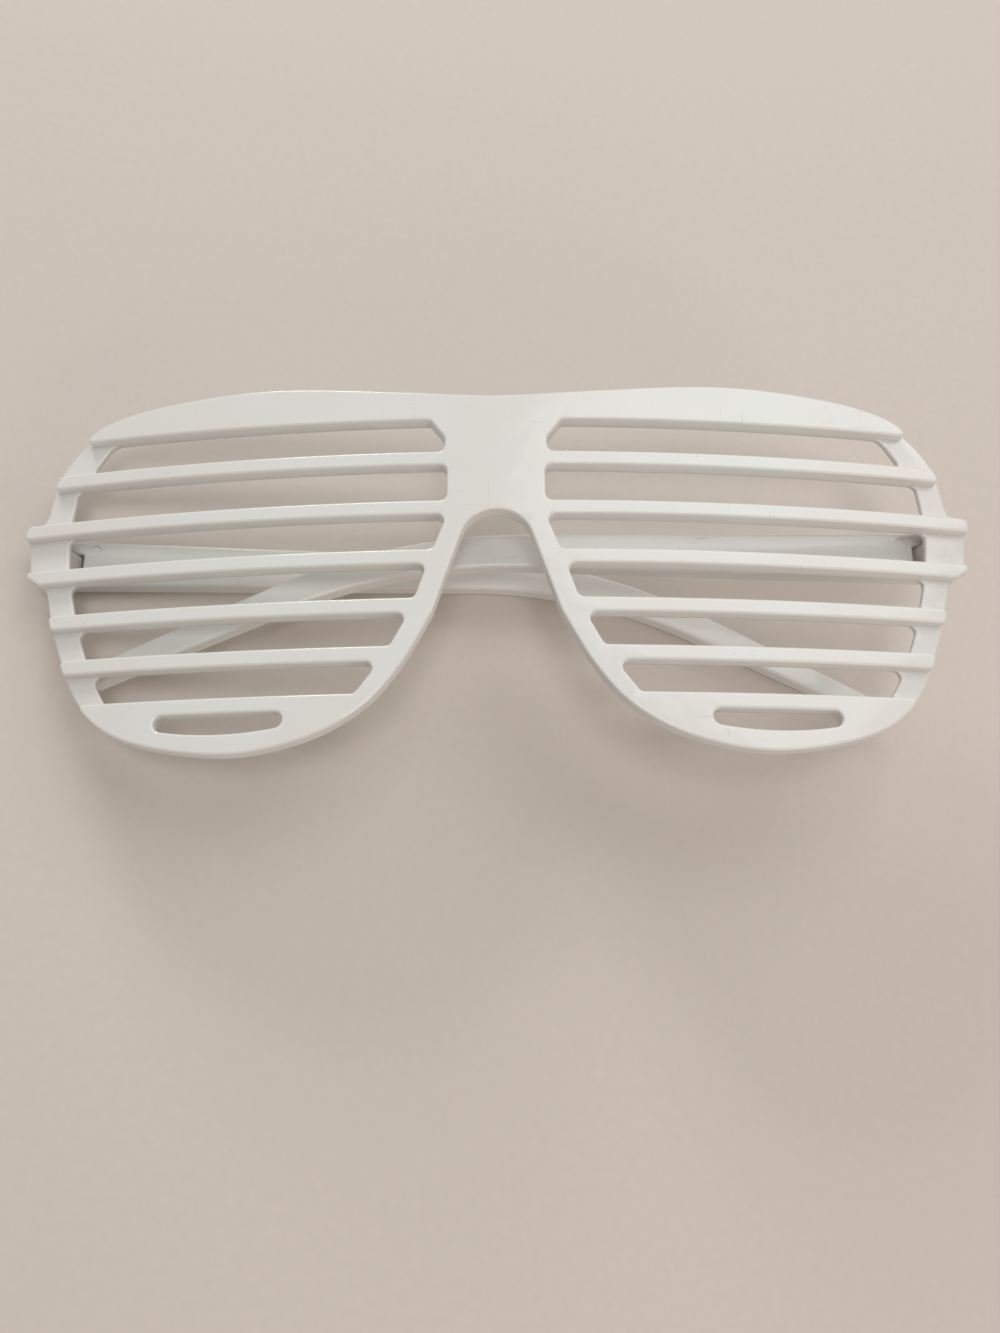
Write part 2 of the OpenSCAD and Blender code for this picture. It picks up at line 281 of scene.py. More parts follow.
def edge_profile(face, back, face_r, back_r, insets=(0.0, 0.0), steps=5):
    """Inset and depth from the face to the back: a quarter circle, a wall, a quarter circle. The
    wall leans from the first inset at the face to the second at the back."""
    t = np.linspace(0, math.pi / 2, steps + 1)
    over = np.stack([face_r * (1 - np.sin(t)), face + face_r * (1 - np.cos(t))], 1)
    under = np.stack([back_r * (1 - np.cos(t)), back - back_r * (1 - np.sin(t))], 1)
    return np.vstack([over + [insets[0], 0], under + [insets[1], 0]])


def ring_faces(rows, count, start):
    """Four-sided faces between rows of closed rings of points."""
    row, column = np.meshgrid(np.arange(rows - 1), np.arange(count), indexing="ij")
    here = row * count + column
    beside = row * count + (column + 1) % count
    return np.stack([here, here + count, beside + count, beside], -1).reshape(-1, 4) + start


def fill(flat, rings):
    """Anticlockwise Delaunay triangles between rings of point numbers. The first ring is the
    outer edge, and all points are corners."""
    inside_sides, tolerance = 1, 1e-7
    sides = np.vstack([np.stack([ring, np.roll(ring, -1)], 1) for ring in rings])
    corners, _, faces, *_ = delaunay_2d_cdt(
        flat.tolist(), sides.tolist(), [], inside_sides, tolerance)
    if len(corners) != len(flat):
        raise RuntimeError("An outline crosses itself or has double points")
    triangles = np.array(faces)
    triangles = triangles[inside(flat[triangles].mean(1), [flat[ring] for ring in rings])]
    a, b, c = (flat[triangles[:, corner]] for corner in range(3))
    area = (b - a)[:, 0] * (c - a)[:, 1] - (b - a)[:, 1] * (c - a)[:, 0]
    return np.where((area > 0)[:, None], triangles, triangles[:, ::-1])


def face_points(rings, spacing, near):
    """Grid of points inside the rings and clear of them."""
    low, high = rings[0].min(0), rings[0].max(0)
    x, y = np.meshgrid(*(np.arange(low[axis], high[axis], spacing) for axis in (0, 1)))
    grid = np.stack([x.ravel(), y.ravel()], 1)
    grid = grid[inside(grid, rings)]
    every = np.vstack(rings)
    distance = np.min(np.linalg.norm(grid[:, None] - every[None], axis=2), axis=1)
    return grid[distance > near]


def dish(centre, radius, depth, face, start):
    """Round dish sunk into a face: rings at shares of its radius, the first level with the face
    and the others at its depth, closed by a middle point. Its first point has the number start."""
    shares = np.array([1, 0.9, 0.45])
    rows, count = len(shares), 32
    circle = arc((0, 0), 1, 0, 360, count)[:-1]
    flat = circle * radius * shares[:, None, None] + np.asarray(centre)
    level = face + np.where(np.arange(rows) > 0, depth, 0)
    level = np.broadcast_to(level[:, None, None], (rows, count, 1))
    rings = np.concatenate([flat, level], 2).reshape(-1, 3)
    middle = [[*centre, face + depth]]
    rim = np.arange(count) + start
    last = rim + (rows - 1) * count
    hub = np.full(count, start + rows * count)
    floor = np.stack([hub, last, np.roll(last, -1)], 1)
    return np.vstack([rings, middle]), ring_faces(rows, count, start), floor, rim


def plate(loops, profile, place, spacing=2.6, dents=()):
    """The profile is carried along each loop, and both faces between the loops are filled. The
    first loop is the outer edge, and the others are holes. A dent is (centre, radius, depth): a
    round dish in the face. place(x, y, depth) gives each point's place."""
    near_share = 0.45
    points, quads, start = [], [], 0
    face_rings, back_rings = [], []
    rows = len(profile)
    for number, loop in enumerate(loops):
        into = outward(loop) if number else -outward(loop)
        count = len(loop)
        flat = loop + into * profile[:, 0, None, None]
        depth = np.broadcast_to(profile[:, 1, None, None], (rows, count, 1))
        points.append(np.concatenate([flat, depth], 2).reshape(-1, 3))
        walls = ring_faces(rows, count, start)
        quads.append(walls[:, ::-1] if number else walls)
        face_rings.append(np.arange(count) + start)
        back_rings.append(np.arange(count) + start + (rows - 1) * count)
        start += rows * count
    triangles = []
    for centre, radius, depth in dents:
        dish_points, dish_sides, dish_floor, dish_rim = dish(
            centre, radius, depth, profile[0, 1], start)
        points.append(dish_points)
        quads.append(dish_sides)
        triangles.append(dish_floor)
        face_rings.append(dish_rim)
        start += len(dish_points)
    for rings, depth, is_back in (
            (face_rings, profile[0, 1], False), (back_rings, profile[-1, 1], True)):
        so_far = np.vstack(points)
        flat_rings = [so_far[ring, :2] for ring in rings]
        extra = face_points(flat_rings, spacing, spacing * near_share)
        number = np.concatenate([*rings, np.arange(len(extra)) + start])
        sizes = np.cumsum([0] + [len(ring) for ring in rings])
        local = [np.arange(low, high) for low, high in zip(sizes[:-1], sizes[1:])]
        cover = number[fill(np.vstack([*flat_rings, extra]), local)]
        triangles.append(cover[:, ::-1] if is_back else cover)
        points.append(np.column_stack([extra, np.full(len(extra), depth)]))
        start += len(extra)
    x, y, depth = np.vstack(points).T
    return faced_out(place(x, y, depth), np.vstack(quads), np.vstack(triangles))


def turned(radii, heights, place, count=40):
    """Solid of revolution: rings of the given radii and heights about the Y axis, closed by a
    point at each end."""
    circle = arc((0, 0), 1, 0, 360, count)[:-1]
    x = np.outer(radii, circle[:, 0]).ravel()
    z = np.outer(radii, circle[:, 1]).ravel()
    y = np.repeat(heights, count)
    x, y, z = np.append(x, [0, 0]), np.append(y, [heights[0], heights[-1]]), np.append(z, [0, 0])
    rows = len(radii)
    first = np.arange(count)
    last = first + (rows - 1) * count
    hub = np.full(count, rows * count)
    ends = np.vstack([
        np.stack([hub, first, np.roll(first, -1)], 1),
        np.stack([hub + 1, np.roll(last, -1), last], 1)])
    return faced_out(place(x, y, z), ring_faces(rows, count, 0), ends)


def faced_out(points, quads, triangles):
    """The same solid with its faces outward: their pyramids to the origin add up to its volume,
    which is negative where the faces point inward."""
    halves = np.vstack([quads[:, [0, 1, 2]], quads[:, [0, 2, 3]], triangles])
    a, b, c = (points[halves[:, corner]] - points[0] for corner in range(3))
    if np.sum(a * np.cross(b, c)) < 0:
        return points, quads[:, ::-1], triangles[:, ::-1]
    return points, quads, triangles


def mesh_of(name, solids):
    """Mesh of several solids."""
    starts = np.cumsum([0] + [len(solid[0]) for solid in solids])
    quads = np.vstack([solid[1] + start for solid, start in zip(solids, starts)])
    triangles = np.vstack([solid[2] + start for solid, start in zip(solids, starts)])
    mesh = bpy.data.meshes.new(name)
    points = np.vstack([solid[0] for solid in solids])
    mesh.from_pydata(points.tolist(), [], quads.tolist() + triangles.tolist())
    mesh.validate()
    return mesh


def finish_piece(name, mesh, material, body, node):
    """Object with smooth faces, sharp only where they meet at a steep angle, in place of a CAD
    node on its body."""
    steep = math.radians(42)
    mesh.materials.clear()
    mesh.materials.append(material)
    mesh.polygons.foreach_set("use_smooth", np.ones(len(mesh.polygons), bool))
    mesh.set_sharp_from_angle(angle=steep)
    piece = bpy.data.objects.new(name, mesh)
    bpy.context.scene.collection.objects.link(piece)
    weighted = piece.modifiers.new("Weighted normals", "WEIGHTED_NORMAL")
    weighted.keep_sharp = True
    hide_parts(node)
    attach(piece, body)
    return piece


# Layout of the glasses


class Layout:
    """Lines and places that several pieces share, worked out from the settings."""

    def __init__(self, scene):
        front, hinge = scene.glasses_front, scene.glasses_hinge
        root_over, root_gap, arch_end = 0.1, 0.3, 19
        self.front, self.hinge = front, hinge
        self.temples = (("left", -1, hinge.left_fold), ("right", 1, -hinge.right_fold))
        self.lug_x = hinge.hinge_x + hinge.lug_reach
        self.root_end = hinge.temple_t / 2 + root_over
        self.lug_back = hinge.hinge_depth - self.root_end - root_gap
        k = np.arange(SLOTS)
        closer = front.pitch_step * k * (k - 1) / 2
        self.tops = front.brow_edge - front.first_slot_h - k * front.slat_pitch + closer
        self.roofs = np.concatenate([[front.brow_edge], self.tops[:-1] - front.slat_h])
        knots = EDGE_SHARES * [front.rim_w / 2, front.front_h / 2]
        edge = smooth_curve(knots, knots[1] * [-1, 1], CURVE_STEPS)
        arch = arc((0, front.arch_top - front.arch_r), front.arch_r, 90, arch_end, 16)
        self.foot = np.vstack([arch, edge[RIM_FOOT:][::-1]])
        self.side = edge[RIM_TOP:RIM_FOOT + 1][::-1]
        self.brow = edge[:RIM_TOP + 1][::-1]
        self.fold = hinge.left_fold
        sine, cosine = math.sin(self.fold), math.cos(self.fold)
        self.lift = hinge.hinge_x * sine + hinge.hinge_depth * cosine + hinge.temple_t / 2
        lug_front = front.wrap_r - math.sqrt(front.wrap_r**2 - self.lug_x**2)
        self.middle = sine * (lug_front + self.lug_back) / 2

    def side_x(self, y):
        """The side rim's edge at a height."""
        return np.interp(y, self.side[:, 1], self.side[:, 0])

    def side_between(self, low=-math.inf, high=math.inf):
        """Points of the side rim between two heights, going up."""
        y = self.side[:, 1]
        return self.side[(y > low) & (y < high)]

    def slot_outer(self, y):
        """Outer end of a slot. The rim's band is wider beside the first one."""
        extra = self.front.first_band if y >= self.tops[0] else 0
        return self.side_x(y) - self.front.rim_band - extra

    def slot_inner(self, y):
        """Inner end of a slot: the bridge's side, or the nose edge and the rim's band."""
        nose = self.foot[self.foot[:, 1] > EDGE_SHARES[NOSE_KNOT, 1] * self.front.front_h / 2]
        nose = nose[nose[:, 0] < self.front.small_slot_x]
        nose_x = np.interp(-y, -nose[:, 1], nose[:, 0])
        return max(self.front.bridge_half, nose_x + self.front.nose_band)

    def slot_inner_end(self, number):
        """Corners of a slot's inner end, going up. The first slot's upper one is cut on a slant."""
        first_inset = 0.4
        floor, roof = self.tops[number], self.roofs[number]
        if number:
            return [[self.slot_inner(floor), floor], [self.slot_inner(roof), roof]]
        x = self.slot_inner(floor) + first_inset
        return [[x, floor], [x, roof - self.front.slant_h], [x + self.front.slant_w, roof]]

    def lug_side(self, y):
        """The lug's side at a height: it leans in by the taper from its upper to its lower slat."""
        upper, lower = self.tops[UPPER_LUG], self.tops[LOWER_LUG]
        return self.lug_x - self.hinge.lug_taper * ((upper - y) / (upper - lower))

    def wrap_z(self, x, depth):
        """Height on the cylinder of the wrap radius less the depth."""
        return np.sqrt((self.front.wrap_r - depth)**2 - x**2) - self.front.wrap_r

    def on_table(self, x, y, z):
        """The front's frame, turned about Y until the left temple is level, in metres."""
        sine, cosine = math.sin(self.fold), math.cos(self.fold)
        row = [x * cosine - z * sine - self.middle, y, x * sine + z * cosine + self.lift]
        return np.stack(row, 1) * MM

    def wrapped(self, x, y, depth):
        """Place of a point at a depth behind the bent face."""
        return self.on_table(x, y, self.wrap_z(x, depth))

    def table_matrix(self):
        """The turn and place of on_table as a matrix."""
        turn = Matrix.Rotation(-self.fold, 4, "Y")
        return Matrix.Translation((-self.middle * MM, 0, self.lift * MM)) @ turn

    def at_hinge(self, side, fold):
        """place() for a piece drawn about its hinge axis: turned by the fold about Y and moved to
        the hinge at side -1, the left, or 1."""
        sine, cosine = math.sin(fold), math.cos(fold)

        def place(x, y, z):
            across = x * cosine + z * sine - self.hinge.hinge_x
            deep = z * cosine - x * sine - self.hinge.hinge_depth
            return self.on_table(-side * across, y + self.hinge.hinge_y, deep)

        return place


# The front


def both_halves(half):
    """Anticlockwise loop from its right half, which goes from the arch's top to the brow."""
    left = half[::-1] * [-1, 1]
    return np.vstack([half, left[1:-1]])


def rim_loop(layout):
    """Outline of the deep sheet: the edge, with a hinge lug flared into each side rim, and a
    slight bulge between the brow and the first slat."""
    flare_rise, flare_r, flare_inset, flare_over = 0.65, 3.4, 0.9, 0.05
    join_drop, heel_out, heel_drop = 1.2, 0.1, 0.2
    tip_rise, tip_step, tip_cut = 2, 0.1, 0.5
    side_drop, top_cut, clear = 1, 0.3, 0.3
    bulge_heights, rise = [15, 18.5, 22, 26], layout.front.rim_rise
    top = layout.tops[UPPER_LUG] + flare_rise
    low = layout.tops[LOWER_LUG] - layout.front.slat_h
    flare = arc((layout.lug_x - flare_inset, top + flare_r), flare_r, 270, 190, 8)
    flare = flare[flare[:, 0] > layout.side_x(flare[:, 1]) + flare_over]
    join = low - join_drop
    tip_x = layout.lug_side(low + tip_rise)
    tip_y = low + tip_rise + tip_step
    lug = [
        [layout.side_x(join), join], [layout.side_x(low) + heel_out, low - heel_drop],
        [tip_x - tip_cut, tip_y - tip_cut], [tip_x, tip_y],
        [layout.lug_side(top - side_drop), top - side_drop],
        [layout.lug_x - top_cut, top - top_cut]]
    upper = layout.side_between(low=flare[-1, 1] + clear).copy()
    upper[:, 0] += np.interp(upper[:, 1], bulge_heights, [0, rise, rise, 0])
    half = np.vstack([
        layout.foot[:-1], layout.side_between(high=join - clear), lug, flare,
        upper, layout.brow[1:]])
    return both_halves(half)


def slat_end(layout, k):
    """Corners of a slat's outer end, going up, and their radii. The first and the two lowest slats
    end along the rim's edge. The lug's slats reach its side, the lower one with a slant below."""
    first_inset, inset = 0.4, 0.2
    slant_foot, slant_top = 2.4, 1.7
    lug_corner, rim_corner = 1.1, 0.8
    top = layout.tops[k]
    low = top - layout.front.slat_h
    end = layout.lug_side(top) - inset
    if k == LOWER_LUG:
        return [[end - slant_foot, low], [end + slant_top, top]], [END_CORNER, END_CORNER]
    if k == UPPER_LUG:
        return [[end, low], [end, top]], [END_CORNER, lug_corner]
    back = inset if k else first_inset
    return [[layout.side_x(y) - back, y] for y in (low, top)], [END_CORNER, rim_corner]


def face_loop(layout):
    """Outline of the raised face: bottom bands, nose bridge and brow, with the slats as fingers
    that cross the side rims and end flush with them."""
    run_in, rim_stop = 2, 1.4
    foot_y, roof = layout.tops[-1] - run_in, layout.roofs[0]
    corners = [[layout.side_x(foot_y), foot_y], [layout.side_x(layout.tops[-1]), layout.tops[-1]]]
    radii = [END_CORNER]
    for k in reversed(range(SLOTS - 1)):
        inner_end = layout.slot_inner_end(k + 1)
        end, end_radii = slat_end(layout, k)
        corners += [*inner_end, *end]
        radii += [SLOT_CORNER] * len(inner_end) + end_radii
    inner_end = layout.slot_inner_end(0)
    corners += [
        *inner_end, [layout.side_x(roof), roof], [layout.side_x(roof + run_in), roof + run_in]]
    radii += [SLOT_CORNER] * len(inner_end) + [END_CORNER]
    half = np.vstack([
        layout.foot[:-1], layout.side_between(high=layout.tops[-1] - rim_stop),
        round_path(corners, radii), layout.side_between(low=roof + rim_stop), layout.brow[1:]])
    return both_halves(half)


def slot_loops(layout):
    """Slots of both lenses as anticlockwise loops."""
    loops = []
    for number, (roof, floor) in enumerate(zip(layout.roofs, layout.tops)):
        inner_end = layout.slot_inner_end(number)[::-1]
        upper = SLOT_CORNER if number else layout.front.first_corner
        corners = [[layout.slot_outer(floor), floor], [layout.slot_outer(roof), roof], *inner_end]
        loop = round_loop(corners, [SLOT_CORNER, upper] + [SLOT_CORNER] * len(inner_end))
        loops += [loop, loop[::-1] * [-1, 1]]
    return loops


def small_slot_loops(layout):
    """Small slots in the bottom bands: a straight top, and round ends that run smoothly into a
    bowed foot."""
    front = layout.front
    x, h, end_r = front.small_slot_x, front.small_slot_h, 1.1
    top = layout.tops[-1] - front.slat_h
    across = front.small_slot_w / 2 - end_r
    foot_r = (across**2 / (h - 2 * end_r) + h) / 2
    spread = math.degrees(math.asin(across / (foot_r - end_r)))
    loop = np.vstack([
        arc((x, top - h + foot_r), foot_r, 270 - spread, 270 + spread, 16)[:-1],
        arc((x + across, top - end_r), end_r, spread - 90, 90, 14),
        arc((x - across, top - end_r), end_r, 90, 270 - spread, 14)[:-1]])
    return [loop, loop[::-1] * [-1, 1]]


def lug_block(layout, side):
    """Block behind the lug: its outline runs from inside the sheet straight back to a flat end. Its
    inner side stands back from the slot, so that the temple's ears show through it."""
    top_inset, foot_inset, side_inset, stand_back = 0.4, 0.5, 0.1, 1.3
    slant_x, slant_y, corner_r = 1, 1.4, 0.5
    start_depth, depth = 2.2, 3.0
    top = layout.tops[UPPER_LUG] - top_inset
    low = layout.tops[LOWER_LUG] - layout.front.slat_h + foot_inset
    inner = layout.slot_outer(layout.hinge.hinge_y) + stand_back
    corner = low + slant_y
    corners = [
        [inner, low], [layout.side_x(low) + slant_x, low],
        [layout.lug_side(corner) - side_inset, corner],
        [layout.lug_side(top) - side_inset, top], [inner, top]]
    outline = even_loop(round_loop(corners, [corner_r] * len(corners)), spacing=0.8)

    def place(x, y, d):
        share = d / depth
        z = (1 - share) * layout.wrap_z(x, start_depth) - share * layout.lug_back
        return layout.on_table(side * x, y, z)

    return plate([outline], edge_profile(0, depth, face_r=0.05, back_r=0.4), place)


def hinge_tongue(layout, side):
    """Tongue that the pin goes through: it leans in from the sheet beside the lug block, and has a
    round end and a bore."""
    hinge = layout.hinge
    wall, lean, sunk, bore_gap = 0.5, 0.3, 0.4, 0.05
    half = hinge.pin_r + wall
    top = hinge.hinge_depth + layout.wrap_z(hinge.hinge_x, layout.front.front_t - sunk)
    outline = np.vstack([[[lean, top]], arc((0, 0), half, 165, 360, 26), [[half, top]]])
    bore = arc((0, 0), hinge.pin_r + bore_gap, 0, 360, 32)[:-1]

    def place(x, z, depth):
        y = hinge.hinge_y + hinge.tongue_h / 2 - depth
        return layout.on_table(side * (hinge.hinge_x + x), y, z - hinge.hinge_depth)

    profile = edge_profile(0, hinge.tongue_h, face_r=0.2, back_r=0.2)
    return plate([even_loop(outline, spacing=0.5), bore], profile, place, spacing=1.0)


def front_solids(layout):
    """The sheet with its side rims, the raised face, and the two hinge lugs."""
    front = layout.front
    seam, overlap = 0.03, 0.1
    below = seam + front.parting
    sheet = edge_profile(
        front.recess, front.front_t, front.face_r, front.back_r, (below, below + front.draft / 2))
    face = edge_profile(
        0, front.recess + front.face_r + overlap, front.face_r, back_r=0.02,
        insets=(seam + front.draft, seam))
    holes = [even_loop(loop, spacing=0.9) for loop in small_slot_loops(layout)]
    slots = [even_loop(loop, spacing=0.9) for loop in slot_loops(layout)]
    rim, raised = (even_loop(loop, spacing=0.8) for loop in (rim_loop(layout), face_loop(layout)))
    solids = [
        plate([rim, *slots, *holes], sheet, layout.wrapped),
        plate([raised, *holes], face, layout.wrapped)]
    for side in (-1, 1):
        solids += [lug_block(layout, side), hinge_tongue(layout, side)]
    return solids


# The temples and pins


def temple_loop(hinge, root_end):
    """Side view of a temple about its hinge axis: straight, then bent down round the ear, lower
    towards the tip, with a notch for the tongue at the root."""
    hook = hinge.straight_len + hinge.bend_r * hinge.bend
    corner_r, foot_corner_r, ear_corner_r, notch_corner_r = 1, 0.8, 0.55, 0.3
    notch_gap = 0.1

    def slope(s):
        """How far the bar has bent down at a length along its upper edge."""
        return np.clip((s - hinge.straight_len) / hinge.bend_r, 0, hinge.bend)

    def upper(s):
        """Upper edge: a line, an arc of the bend's radius, and a line at its last slope."""
        b = slope(s)
        past = np.maximum(0, s - hook)
        x = np.minimum(s, hinge.straight_len) + hinge.bend_r * np.sin(b) + past * np.cos(b)
        drop = hinge.bend_r * (1 - np.cos(b)) + past * np.sin(b)
        return np.stack([x, hinge.root_h / 2 - drop], 1)

    def height(s):
        """Height of the bar, which falls evenly to the tip's."""
        return hinge.bar_h + (hinge.tip_h - hinge.bar_h) * s / hinge.temple_len

    def lower(s):
        """Lower edge: the upper one moved square to it by the height."""
        down = np.stack([np.sin(slope(s)), np.cos(slope(s))], 1)
        return upper(s) - height(s)[:, None] * down

    tip_s = np.array([hinge.temple_len - hinge.tip_h / 2])
    tip = (upper(tip_s) + lower(tip_s))[0] / 2
    lean = math.degrees(hinge.bend)
    bend = np.linspace(hinge.straight_len, hook, 33)
    half = hinge.root_h / 2
    foot = hinge.bar_h - half
    notch = hinge.tongue_h / 2 + hinge.ear_gap
    deep = hinge.temple_t / 2 + notch_gap
    fork = round_path(
        [[-root_end, -foot], [-root_end, -notch], [deep, -notch], [deep, notch],
         [-root_end, notch], [-root_end, half]],
        [ear_corner_r, notch_corner_r, notch_corner_r, ear_corner_r])
    top_centre = (-root_end + corner_r, half - corner_r)
    foot_centre = (-root_end + foot_corner_r, foot_corner_r - foot)
    clockwise = np.vstack([
        arc(top_centre, corner_r, 180, 90, 8), upper(bend),
        arc(tip, height(tip_s)[0] / 2, 90 - lean, -90 - lean, 20), lower(bend[::-1]),
        arc(foot_centre, foot_corner_r, 270, 180, 8), fork])
    return clockwise[::-1]


def temple_mesh(layout, side, fold):
    """Temple plate with rounded edges and ears, an ejector mark on its inner face, and a bore."""
    hinge = layout.hinge
    at_hinge = layout.at_hinge(side, fold)
    ear_over, edge_r, bore_gap, drill_over = 0.05, 0.5, 0.02, 1
    mark_place, mark_r, mark_depth = (3.4, 2.55), 1.05, 0.22
    ear_r = layout.root_end + ear_over

    def place(x, y, depth):
        """Place of a point at a depth behind the inner face, with the ears' outer edges round."""
        z = hinge.temple_t / 2 - depth
        reach = np.hypot(x, z)
        beyond = (x < 0) & (z > 0) & (reach > ear_r)
        shrink = np.where(beyond, ear_r / np.maximum(reach, ear_r), 1)
        return at_hinge(x * shrink, y, z * shrink)

    profile = edge_profile(0, hinge.temple_t, edge_r, edge_r, steps=6)
    loop = even_loop(temple_loop(hinge, layout.root_end), spacing=0.7)
    blank = plate([loop], profile, place, spacing=1.5, dents=[(mark_place, mark_r, mark_depth)])
    body = bpy.data.objects.new("temple", mesh_of("temple", [blank]))
    reach = hinge.root_h / 2 + drill_over
    rod = turned(np.full(2, hinge.pin_r + bore_gap), np.array([-reach, reach]), at_hinge)
    drill = bpy.data.objects.new("drill", mesh_of("drill", [rod]))
    for helper in (body, drill):
        bpy.context.scene.collection.objects.link(helper)
    bore = body.modifiers.new("Bore", "BOOLEAN")
    bore.operation = "DIFFERENCE"
    bore.solver = "EXACT"
    bore.object = drill
    bpy.context.view_layer.update()
    ready = body.evaluated_get(bpy.context.evaluated_depsgraph_get())
    mesh = bpy.data.meshes.new_from_object(ready)
    for helper in (body, drill):
        used = helper.data
        bpy.data.objects.remove(helper)
        bpy.data.meshes.remove(used)
    return mesh


def pin_solid(layout, side, fold):
    """Pin: a barrel with chamfered ends and a shallow punch mark in each."""
    hinge = layout.hinge
    end_inset = 0.3
    top = hinge.root_h / 2 - end_inset
    foot = hinge.bar_h - hinge.root_h / 2 - end_inset
    end_shares = np.array([0.25, 0.5, 0.75, 0.87, 1])
    radii = np.concatenate([end_shares, end_shares[::-1]]) * hinge.pin_r
    sink = np.array([0.12, 0.08, 0.0, 0.0, 0.1])
    heights = np.concatenate([sink - foot, (top - sink)[::-1]])
    return turned(radii, heights, layout.at_hinge(side, fold))


# Materials


class Nodes:
    """Short forms for adding and joining a material's nodes."""

    def __init__(self, name):
        self.material = bpy.data.materials.new(name)
        self.material.use_nodes = True
        self.tree = self.material.node_tree
        self.shader = self.tree.nodes["Principled BSDF"]

    def add(self, kind, inputs=(), **settings):
        """New node with values or other nodes' results at its inputs."""
        node = self.tree.nodes.new(kind)
        for name, value in settings.items():
            setattr(node, name, value)
        for name, value in dict(inputs).items():
            self.feed(value, node.inputs[name])
        return node

    def feed(self, value, socket):
        if isinstance(value, bpy.types.NodeSocket):
            self.tree.links.new(value, socket)
        else:
            socket.default_value = value

    def own_place(self):
        """Place in the piece's own space, in metres."""
        return self.add("ShaderNodeTexCoord").outputs["Object"]

    def mapped(self, place, **inputs):
        """The place moved, turned and scaled."""
        return self.add("ShaderNodeMapping", {"Vector": place, **inputs}).outputs["Vector"]

    def noise(self, place, scale, detail, roughness=0.5):
        """Soft random spots, scale of them to a metre."""
        inputs = {"Vector": place, "Scale": scale, "Detail": detail, "Roughness": roughness}
        return self.add("ShaderNodeTexNoise", inputs).outputs["Fac"]

    def between(self, value, low, high, to_low=0.0, to_high=1.0):
        """The value's range from low to high, stretched to another and held at its ends."""
        inputs = {
            "Value": value, "From Min": low, "From Max": high, "To Min": to_low,
            "To Max": to_high}
        return self.add("ShaderNodeMapRange", inputs).outputs["Result"]

    def joined(self, operation, a, b):
        """Result of a sum on two values."""
        node = self.add("ShaderNodeMath", operation=operation)
        self.feed(a, node.inputs[0])
        self.feed(b, node.inputs[1])
        return node.outputs["Value"]

    def times(self, a, b):
        return self.joined("MULTIPLY", a, b)

    def plus(self, a, b):
        return self.joined("ADD", a, b)

    def larger(self, a, b):
        return self.joined("MAXIMUM", a, b)

    def mix(self, share, a, b):
        """The colour a, and b in its place by the share."""
        node = self.add("ShaderNodeMix", data_type="RGBA")
        self.feed(share, node.inputs["Factor"])
        self.feed(a, node.inputs[MIX_A])
        self.feed(b, node.inputs[MIX_B])
        return node.outputs[MIX_RESULT]

    def bump(self, height, strength):
        """Surface direction on a relief whose height is in metres."""
        inputs = {"Height": height, "Strength": strength, "Distance": 1.0}
        return self.add("ShaderNodeBump", inputs).outputs["Normal"]

    def surface(self, inputs):
        """The material, with these values or nodes' results at its shader's inputs."""
        for name, value in inputs.items():
            self.feed(value, self.shader.inputs[name])
        return self.material


def opaque(rgb, share=1.0):
    """The colour times a share, as one that nothing shows through."""
    return (*(value * share for value in rgb), 1.0)


def white_plastic(name, finish, offset):
    """Moulded plastic: soft clouds of two tones, fine waves in the gloss, patches of hair-thin
    scratches, and specks of dust."""
    scratch_tint, speck_tint, scratch_matt = 0.35, 0.8, 0.25
    wave_height, scratch_depth = 0.00016, 0.00001
    n = Nodes(name)
    moved = n.mapped(n.own_place(), Location=offset)
    clouds = n.between(n.noise(moved, scale=34, detail=3), 0.35, 0.7)
    tone = n.mix(clouds, opaque(finish.plastic), opaque(finish.shaded))
    along = n.mapped(moved, Rotation=(0.2, 0.1, 0.5), Scale=(0.05, 1, 1))
    across = n.mapped(moved, Rotation=(0.1, 0.3, -0.9), Scale=(1, 0.06, 1))
    hairs = n.between(n.noise(along, scale=2600, detail=1), 0.70, 0.76)
    more_hairs = n.between(n.noise(across, scale=2200, detail=1), 0.71, 0.77)
    patches = n.between(n.noise(moved, scale=95, detail=2), 0.50, 0.66)
    scratches = n.times(n.larger(hairs, more_hairs), patches)
    specks = n.between(n.noise(moved, scale=1500, detail=1), 0.80, 0.83)
    marks = n.larger(n.times(scratches, scratch_tint), n.times(specks, speck_tint))
    base = n.mix(marks, tone, opaque(finish.dust))
    smears = n.between(
        n.noise(moved, scale=150, detail=4, roughness=0.6), 0.35, 0.75, to_high=0.10)
    matt = n.plus(n.plus(smears, finish.roughness), n.times(scratches, scratch_matt))
    waves = n.times(n.noise(moved, scale=210, detail=2), wave_height)
    height = n.plus(waves, n.times(scratches, -scratch_depth))
    return n.surface({
        "Base Color": base, "Roughness": matt, "Normal": n.bump(height, strength=0.5),
        "IOR": 1.49, "Subsurface Weight": 0.12, "Subsurface Radius": (1.0, 0.9, 0.8),
        "Subsurface Scale": 0.0008})


def pin_steel(finish):
    """Drawn steel wire: fine rings round the pin, and darker stains."""
    stain_share, line_depth = 0.6, 0.00002
    n = Nodes("pin_steel")
    place = n.own_place()
    lines = n.noise(n.mapped(place, Scale=(1, 12, 1)), scale=900, detail=3)
    stains = n.between(n.noise(place, scale=500, detail=3), 0.4, 0.7)
    return n.surface({
        "Base Color": n.mix(stains, opaque(finish.steel), opaque(finish.steel, stain_share)),
        "Roughness": n.between(lines, 0.3, 0.7, to_low=0.25, to_high=0.45),
        "Normal": n.bump(n.times(lines, line_depth), strength=0.6), "Metallic": 1.0})


